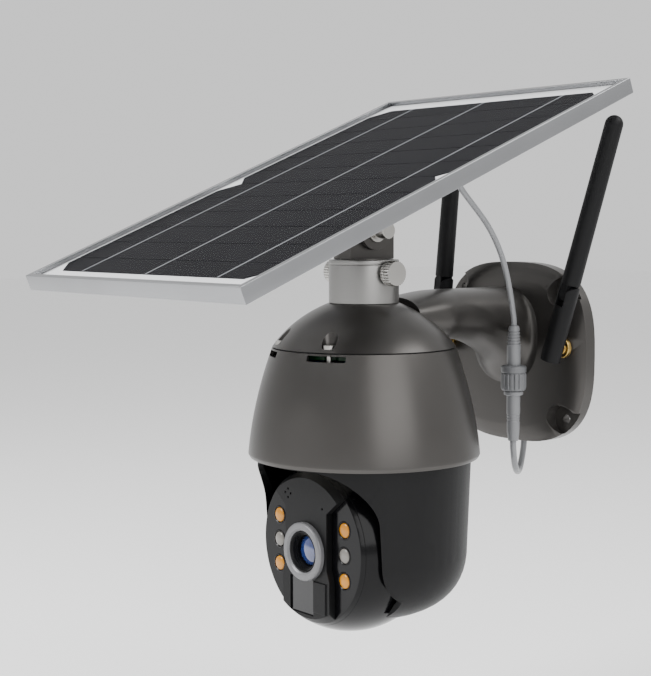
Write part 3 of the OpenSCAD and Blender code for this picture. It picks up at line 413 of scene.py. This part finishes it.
# %% Plastics and rubber
gunmetal_abs = grained("gunmetal_abs", "#4b4947", "#43413f", 0.32, 0.7, 0.2, metallic=0.72, spread=0.05)
black_polycarbonate = grained("black_polycarbonate", "#0d0d0e", "#09090a", 0.46, 0.9, 0.4, ior=1.58)
gloss_polycarbonate = grained("polished_black_polycarbonate", "#08080a", "#060607", 0.16, 1.4, 0.05,
                              ior=1.58, spread=0.03)
antenna_tpe = grained("antenna_tpe", "#131314", "#0f0f10", 0.48, 1.0, 0.3, ior=1.5)
seal_rubber = grained("epdm_seal_rubber", "#0d0d0d", "#101010", 0.75, 0.8, 0.4, ior=1.52)
white_nylon = grained("white_nylon", "#dedcd2", "#d2d0c5", 0.5, 1.1, 0.25, ior=1.53)
board_resin = grained("green_solder_mask", "#0f4a26", "#0b3d1f", 0.4, 1.4, 0.3, ior=1.55)
cell_sleeve = grained("pvc_cell_sleeve", "#2a5fa8", "#244f8c", 0.3, 2.0, 0.1, ior=1.53)

# The fine grain of the black mouldings swallows much of their shine
for dark in (black_polycarbonate, gloss_polycarbonate, antenna_tpe):
    dark.node_tree.nodes["Principled BSDF"].inputs["Specular IOR Level"].default_value = 0.14

# %% Metals
anodised_aluminium = grained("anodised_aluminium", "#97989a", "#8c8d8f", 0.34, 0.5, 0.25, metallic=1.0,
                             stretch=(1, 1, 8))
nickel_steel = grained("satin_nickel_steel", "#b4b2ae", "#a8a6a2", 0.3, 0.6, 0.2, metallic=1.0)
collar_metal = grained("bead_blasted_zinc", "#8f8e8c", "#858482", 0.36, 0.6, 0.3, metallic=0.9)
ring_metal = grained("painted_lens_ring", "#69696b", "#606062", 0.4, 0.8, 0.15, metallic=0.25)
turned_brass = grained("turned_brass", "#b79b5c", "#a98c50", 0.32, 0.5, 0.2, metallic=1.0)
print(len(bpy.data.materials), "materials")

# %% [markdown]
# Only the lens glass has a coat. The panel's cover glass is nearly clear and hardly shines, because at a
# low angle a bright studio would wash out the black cells. The window is smoked, and the lamps' lenses are
# amber and grey resin.

# %% Glass, cells and lenses
def clear(name, colour, roughness, alpha, ior=1.5, coat=0.0):
    material, shader = coat_of(name, roughness, 0.0, ior)
    shader.inputs["Base Color"].default_value = linear(colour)
    shader.inputs["Alpha"].default_value = alpha
    shader.inputs["Coat Weight"].default_value = coat
    shader.inputs["Coat Roughness"].default_value = 0.04
    return material, shader

panel_cover, shader = clear("tempered_panel_glass", "#0c0e12", 0.2, 0.03)
shader.inputs["Specular IOR Level"].default_value = 0.05
lens_coating, shader = clear("coated_lens_glass", "#14203c", 0.06, 1.0, 1.6, 1.0)
where = add(lens_coating, "ShaderNodeTexCoord").outputs["Object"]
bloom = add(lens_coating, "ShaderNodeTexNoise", {"Vector": where}, Scale=1 / (6 * MM), Detail=1.0)
blend_colour = add(lens_coating, "ShaderNodeMix", {"Factor": bloom.outputs["Fac"]}, data_type="RGBA")
blend_colour.inputs[6].default_value = linear("#141f42")
blend_colour.inputs[7].default_value = linear("#23356e")
lens_coating.node_tree.links.new(blend_colour.outputs[2], shader.inputs["Base Color"])
window_smoke = grained("smoked_window_resin", "#0a0a0c", "#101013", 0.12, 2.0, 0.02, ior=1.5, spread=0.03)
back_laminate = grained("white_back_laminate", "#d9dadb", "#cfd0d2", 0.5, 1.2, 0.2, ior=1.5)
silver_grid = grained("screened_silver_grid", "#9a9da1", "#8b8e93", 0.4, 0.6, 0.15, metallic=0.8)
amber_resin = grained("amber_phosphor_resin", "#c4820c", "#8f5a06", 0.22, 1.5, 0.1, ior=1.5)
grey_resin = grained("grey_lamp_resin", "#77746f", "#5f5c58", 0.2, 1.5, 0.1, ior=1.5)

# The cells' surface is etched to trap light, so it is near-black and hardly shines
silicon, shader = coat_of("monocrystalline_silicon", 0.6, 0.0, 1.5)
shader.inputs["Specular IOR Level"].default_value = 0.06
where = add(silicon, "ShaderNodeTexCoord").outputs["Object"]
tint = add(silicon, "ShaderNodeTexNoise", {"Vector": where}, Scale=1 / (14 * MM), Detail=1.0)
shade = add(silicon, "ShaderNodeMix", {"Factor": tint.outputs["Fac"]}, data_type="RGBA")
shade.inputs[6].default_value, shade.inputs[7].default_value = linear("#0b0b0e"), linear("#121216")
silicon.node_tree.links.new(shade.outputs[2], shader.inputs["Base Color"])
print(len(bpy.data.materials), "materials")

# %% [markdown]
# ## The arm, the cap and the plate
# The arm grows out of the wall plate in a wide foot, narrows to a neck and runs into the cap over the shell.
# Its sections are joined by a smooth spline from a few superellipses. The cap is turned, and two screw
# pockets are cut into its front. Both are solid outside skins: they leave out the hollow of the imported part.

# %% The arm and the cap
SECTIONS = [(12.05, 22.4, -16, 33), (14, 19.4, -13.5, 33.3), (20, 17.8, -5, 33.5), (30, 17, 2, 33.5),
            (44, 17, 7.5, 33.5), (58, 17.5, 8.9, 33.5), (70, 19, 8.9, 33), (88, 18, 10.9, 30.5)]

def spline_value(values, t):
    i = min(int(t), len(values) - 2)
    f = t - i
    a, b, c, d = (values[max(0, min(len(values) - 1, i + k))] for k in (-1, 0, 1, 2))
    return 0.5 * (2 * b + (c - a) * f + (2 * a - 5 * b + 4 * c - d) * f * f
                  + (3 * b - a - 3 * c + d) * f ** 3)

def super_ring(dist, half_w, low, top, sides=96, power=2.3):
    ring = []
    for k in range(sides):
        a = 2 * pi * k / sides
        x = abs(cos(a)) ** (2 / power) * (1 if cos(a) >= 0 else -1)
        z = abs(sin(a)) ** (2 / power) * (1 if sin(a) >= 0 else -1)
        ring.append((x * half_w, -dist, (low + top) / 2 + z * (top - low) / 2))
    return ring

spans = 8
arm_rings = []
for k in range((len(SECTIONS) - 1) * spans + 1):
    t = k / spans
    arm_rings.append(super_ring(*[spline_value([section[n] for section in SECTIONS], t) for n in range(4)]))
arm = skinned("arm", arm_rings)
kept(arm, gunmetal_abs, "mount_body", ["arm_cap"], 40)

cap_curve = [tuple(p) for p in quadratic((17, 28.5), (33.5, 21.7), (43.2, 8.3), 20)]
cap_skin = turned("cap_skin", [(0, 28.5)] + cap_curve + [(43.2, 8.3), (0, 8.3)], upright, 192)
cutters = []
for a in (-26, 26):
    place = upright @ Matrix.Rotation(radians(a), 4, "Z") @ Matrix.Translation((0, -39.5, 10.0))
    well = [(0, 0), (3.5, 0), (3.5, 3), (7.5, 22), (0, 22)]
    cutters.append(turned("pocket", well, place, 64))
cap_skin = cut(cap_skin, *cutters)
kept(cap_skin, gunmetal_abs, "mount_body", ["arm_cap"])
print("arm", len(arm.data.polygons), "cap", len(cap_skin.data.polygons))

# %% The wall plate
plate = from_packed("wall_plate", 0.35)
kept(plate, gunmetal_abs, "mount_body", ["wall_plate"], 30)
print("plate", len(plate.data.polygons))

# %% [markdown]
# ## The shell
# The domed shell is turned from the same curve as its solid, with a fine lip at the rim. Two slots under
# the cap's screw pockets are cut through the seam.

# %% The domed shell
profile = [tuple(p) for p in quadratic((43.4, 7.7), (52.6, -17.884), (54.8, -41.5), 40)]
inner = [tuple(p) for p in quadratic((41.4, 7.7), (50.6, -17.884), (52.8, -41.5), 20)]
rim = [(54.8, -42.1), (54.1, -43.4), (51.5, -43.5), (51.5, -41.5)]
dome = turned("dome_skin", profile + rim + inner[::-1], upright, 192)
slots = []
for a, width in ((-26, 14), (26, 19)):
    place = upright @ Matrix.Rotation(radians(a), 4, "Z") @ Matrix.Translation((0, -43, 5.6))
    slots.append(eased(slab("slot", [(-width / 2, -4), (width / 2, -4), (width / 2, 4), (-width / 2, 4)],
                            -1.4, 1.3, place), 0.5))
dome = cut(dome, *slots)
kept(dome, gunmetal_abs, "mount_body", ["dome_shell"])
print("dome", len(dome.data.polygons))

# %% [markdown]
# ## The collar and the post
# The collar is a plain ring with a fine groove near its top; the thumb screws have knurled heads.

# %% Collar, thumb screws and post
collar = turned("collar_turned",
                [(13.65, 34.6), (13.65, 49), (16.2, 49, 0.3), (16.5, 48.6, 0.2), (16.5, 47.2, 0.1),
                 (16.2, 47.0, 0.1), (16.2, 46.6, 0.1), (16.5, 46.4, 0.1), (16.5, 28.6, 0.4), (4.2, 28.6),
                 (4.2, 34.6)], upright, 160)
THUMB_Z = 42.8
bore = turned("bore", [(0, -40), (2.56, -40), (2.56, 40), (0, 40)], along_x((0, upright_y, THUMB_Z)), 48)
collar = cut(collar, bore)
kept(collar, collar_metal, "mount_body", ["collar"])

def knurled(a, r, z): return r - (0.28 * abs(sin(15 * a)) if r > 5.6 else 0)

THUMB_SCREW = [(0, 13.75), (2.45, 13.75, 0.3), (2.45, 17.7), (5.9, 17.72, 0.5), (5.9, 19.2, 0.1),
               (5.5, 19.5, 0.1), (5.9, 19.8, 0.1), (5.9, 23.2, 0.6), (0, 23.2)]
for hand, flip in (("right", False), ("left", True)):
    head = turned("thumb_screw_" + hand + "_knurled", THUMB_SCREW,
                  along_x((0, upright_y, THUMB_Z), flip), 180, teeth=knurled)
    kept(head, nickel_steel, hand + "_thumb_screw", ["thumb_screw_" + hand])
post = from_packed("panel_post", 0.5)
kept(post, gunmetal_abs, "post", ["panel_post"])
bracket = from_packed("panel_bracket", 0.4)
kept(bracket, gunmetal_abs, "panel", ["panel_bracket"])
bolt = from_packed("tilt_bolt", 0.25)
kept(bolt, nickel_steel, "panel_bolt", ["tilt_bolt"])
nut = from_packed("tilt_nut", 0.3)
kept(nut, nickel_steel, "panel", ["tilt_nut"])

# %% [markdown]
# ## The fork and the ball
# The fork is one black moulding with an arch cut in its front. The ball has a flat face with a raised
# plate, the lens in its grey ring, six lamps, a smoked window and a service cover. All of these keep their
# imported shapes, with eased edges.

# %% Fork, ball, face and plates
for node, body, material, edge in (("fork_shell", "pan_fork", black_polycarbonate, 0.6),
                                   ("ball_shell", "camera_head", gloss_polycarbonate, 0.2),
                                   ("face_plate", "camera_head", gloss_polycarbonate, 0.2),
                                   ("centre_plate", "camera_head", black_polycarbonate, 0.3),
                                   ("service_cover", "camera_head", black_polycarbonate, 0.4),
                                   ("sensor_window", "camera_head", window_smoke, 0.3)):
    made = from_packed(node, edge)
    kept(made, material, body, [node])
    print(node, len(made.data.polygons))

# %% The lens and the lamps
FACE_FORWARD, LENS_DROP, LAMP_X, LAMP_PITCH = 23.4, 1.4, 23.7, 11.6
lens_at = along_minus_y((ball.x, ball.y - FACE_FORWARD, ball.z - LENS_DROP))

def lamp_seat(side, level):
    return along_minus_y((ball.x + side * LAMP_X, ball.y - FACE_FORWARD, ball.z + level * LAMP_PITCH))

lens_ring = turned("lens_ring_turned",
                   [(9.62, 3.45), (13.6, 3.45), (13.6, 5.4, 0.5), (12.9, 6.2, 0.4), (10.6, 6.2, 0.3),
                    (9.62, 5.3, 0.2)], lens_at, 160)
kept(lens_ring, ring_metal, "camera_head", ["lens_ring"])
barrel = turned("lens_barrel_stepped",
                [(5, -12.4), (9.4, -12.4), (9.4, 5.2, 0.3), (8.9, 5.4, 0.2), (8.4, 4.2), (8.2, 4.2),
                 (8.1, 3.2), (7.8, 3.2), (7.7, 2.2), (7.4, 2.2), (7.4, -8.4), (5, -8.4)],
                lens_at, 128)
kept(barrel, black_polycarbonate, "camera_head", ["lens_barrel"])
dome_points = [(7.2 * cos(radians(90 * k / 16)), 0.2 + 2.2 * sin(radians(90 * k / 16))) for k in range(17)]
glass = turned("lens_glass_domed", [(0, -1.3), (7.25, -1.3)] + dome_points, lens_at, 128)
kept(glass, lens_coating, "camera_head", ["lens_glass"], 60)
lamp_curve = [(3.35 * cos(radians(90 * k / 10)), -0.1 + 1.0 * sin(radians(90 * k / 10))) for k in range(11)]
for node, levels, material, slot in (("warm_lamps", (-1, 1), amber_resin, "warm_lens"),
                                     ("infrared_lamps", (0,), grey_resin, "infrared_lens")):
    lamps = []
    for side in (-1, 1):
        for level in levels:
            lamps.append(turned("lamp", [(0, -2.9), (3.35, -2.9)] + lamp_curve, lamp_seat(side, level), 64))
    kept(joined(node + "_domed", *lamps), material, "camera_head", [node], 60)

# %% [markdown]
# Each lamp's lens sits in a low moulded bezel. It is a small ring turned from five points, and the same
# profile serves all six lamps.

# %% The lamps' bezels
BEZEL = [(3.62, -0.1), (4.4, -0.1), (4.3, 0.2, 0.1), (3.9, 0.34, 0.1), (3.62, 0.1)]
bezels = [turned("bezel", BEZEL, lamp_seat(side, level), 64) for side in (-1, 1) for level in (-1, 0, 1)]
kept(joined("lamp_bezels", *bezels), gloss_polycarbonate, "camera_head")
print(len(bezels), "bezels")

# %% [markdown]
# ## The solar panel
# The aluminium frame is four mitred bars with a glazing lip. Twelve cell strips lie under the glass with
# silver busbars across them, over a white laminate.

# %% The panel frame, its cells and its glass
HALF_W, HALF_L = 82.9, 120.0
SECTION = [(0, 0.5, 0.4), (2.4, 0.5, 0.2), (2.4, -0.02), (0.8, -0.02), (0.8, -2.53), (2.4, -2.53),
           (2.4, -3.75, 0.2), (1.2, -3.75), (1.2, -6.9), (0, -6.9, 0.4)]

def half_of(direction): return HALF_W if abs(direction[0]) > 0.5 else HALF_L

def bar(along, inward):
    """One side of the frame. Its ends are mitred: each point stops as far short as it lies inward."""
    along, inward = Vector(along), Vector(inward)
    ends = []
    for sign in (-1, 1):
        ends.append([along * sign * (half_of(along) - r) + inward * (r - half_of(inward)) + Vector((0, 0, z))
                     for r, z in fillet(SECTION, 3)])
    return skinned("frame_bar", ends, panel_place)

bars = [bar((0, 1, 0), (1, 0, 0)), bar((0, 1, 0), (-1, 0, 0)),
        bar((1, 0, 0), (0, 1, 0)), bar((1, 0, 0), (0, -1, 0))]
kept(joined("panel_frame_bars", *bars), anodised_aluminium, "panel", ["panel_frame"], 40)

def flat(name, outline, z0, z1): return slab(name, outline, z0, z1, panel_place)

strips, block = [], 5 * 18.7 + 15.1
for half in (-1, 1):
    for k in range(6):
        y0, y1 = k * 18.7 + 0.3, min((k + 1) * 18.7, block) - 0.3
        c0, c1 = (8.7 if k == 0 else 0), (8.7 if k == 5 else 0)
        outline = [(-78 + c0, y0), (78 - c0, y0), (78, y0 + c0), (78, y1 - c1), (78 - c1, y1), (-78 + c1, y1),
                   (-78, y1 - c1), (-78, y0 + c0)]
        strips.append(flat("strip", [(x, half * y) for x, y in outline], -1.9, -1.66))
kept(joined("cell_strips", *strips), silicon, "panel", ["solar_cells"])
bars = []
for v in (-52, 0, 52):
    bars.append(flat("busbar", [(v - 0.6, -block + 0.4), (v + 0.6, -block + 0.4), (v + 0.6, block - 0.4),
                                (v - 0.6, block - 0.4)], -1.658, -1.63))
kept(joined("silver_busbars", *bars), silver_grid, "panel", ["solar_cells"])
kept(flat("cover_glass", [(-81.65, -118.75), (81.65, -118.75), (81.65, 118.75), (-81.65, 118.75)], -1.6, 0),
     panel_cover, "panel", ["panel_glass"])
kept(from_packed("junction_box", 1.2, 4), black_polycarbonate, "panel", ["junction_box"])
print("panel pieces", len(strips), "strips")

# %% [markdown]
# The gland clamps the lead where it leaves the junction box, and its long sleeve keeps the lead clear of
# the rail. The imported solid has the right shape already, so only its edges are eased.

# %% The gland
kept(from_packed("cable_gland", 0.3), connector_pvc, "panel", ["cable_gland"])

# %% [markdown]
# ## The antennas
# Each antenna is a tilt-and-fold stub: a socket on the plate, a base with a hinge and a rounded blade.

# %% Antennas
kept(from_packed("antenna_sockets", 0.5, 3), turned_brass, "mount_body", ["antenna_sockets"])
for hand in ("right", "left"):
    for part in ("base", "blade"):
        kept(from_packed("antenna_" + part + "_" + hand, 0.5, 3), antenna_tpe, hand + "_antenna_" + part,
             ["antenna_" + part + "_" + hand])

# %% [markdown]
# ## Materials for the pieces that stay as packed
# Inner parts and small fittings keep their solids, and take a material each.

# %% Materials on the carried-over pieces
STAYING = {
    seal_rubber: ["wall_gasket", "cap_seal"],
    nickel_steel: ["arm_screws", "shell_screws", "fork_screws", "pan_motor", "tilt_motor", "pan_bearing",
                   "pan_clip", "tilt_pin"],
    black_polycarbonate: ["inner_deck", "battery_holder", "speaker"],
    board_resin: ["main_board", "sensor_board", "lamp_board"],
    cell_sleeve: ["battery_cells"],
    turned_brass: ["pan_pinion", "tilt_pinion"],
    white_nylon: ["turntable", "tilt_bushes", "tilt_gear"],
    anodised_aluminium: ["cross_rail"],
    back_laminate: ["back_sheet"],
}
for material, nodes in STAYING.items():
    for node in nodes:
        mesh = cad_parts[node].data
        mesh.materials.clear()
        mesh.materials.append(material)
print(sum(len(nodes) for nodes in STAYING.values()), "packed pieces dressed")

# %% [markdown]
# ## The floor, the world and the lights
# A plain pale floor under the camera, a bright surrounding world, and three soft square lights: a key from
# the front left, a broad fill from the right, and a smaller one behind for the rims.

# %% Floor, world and lights
floor_mesh = bpy.data.meshes.new("studio_floor")
floor_mesh.from_pydata([(-6, -6, -0.2), (6, -6, -0.2), (6, 6, -0.2), (-6, 6, -0.2)], [], [(0, 1, 2, 3)])
floor = bpy.data.objects.new("studio_floor", floor_mesh)
bpy.context.scene.collection.objects.link(floor)
floor_paint, shader = coat_of("pale_studio_floor", 0.8)
shader.inputs["Base Color"].default_value = linear("#fafafa")
floor_mesh.materials.append(floor_paint)

world = bpy.data.worlds.new("studio")
bpy.context.scene.world = world
world.use_nodes = True
world.node_tree.nodes["Background"].inputs["Color"].default_value = linear("#ffffff")
world.node_tree.nodes["Background"].inputs["Strength"].default_value = 0.95

def soft_light(name, at, towards, size, power):
    lamp = bpy.data.lights.new(name, "AREA")
    lamp.shape, lamp.size, lamp.energy = "SQUARE", size, power
    holder = bpy.data.objects.new(name, lamp)
    bpy.context.scene.collection.objects.link(holder)
    holder.location = at
    holder.rotation_euler = (Vector(towards) - Vector(at)).to_track_quat("-Z", "Y").to_euler()

middle = (0, -0.11, 0.0)
soft_light("key", (-0.35, -0.95, 0.75), middle, 0.5, 22)
soft_light("fill", (1.0, -0.3, 0.4), middle, 0.8, 6)
soft_light("rim", (0.5, 0.3, 0.7), middle, 0.5, 5)
print("lights", len(bpy.data.lights))
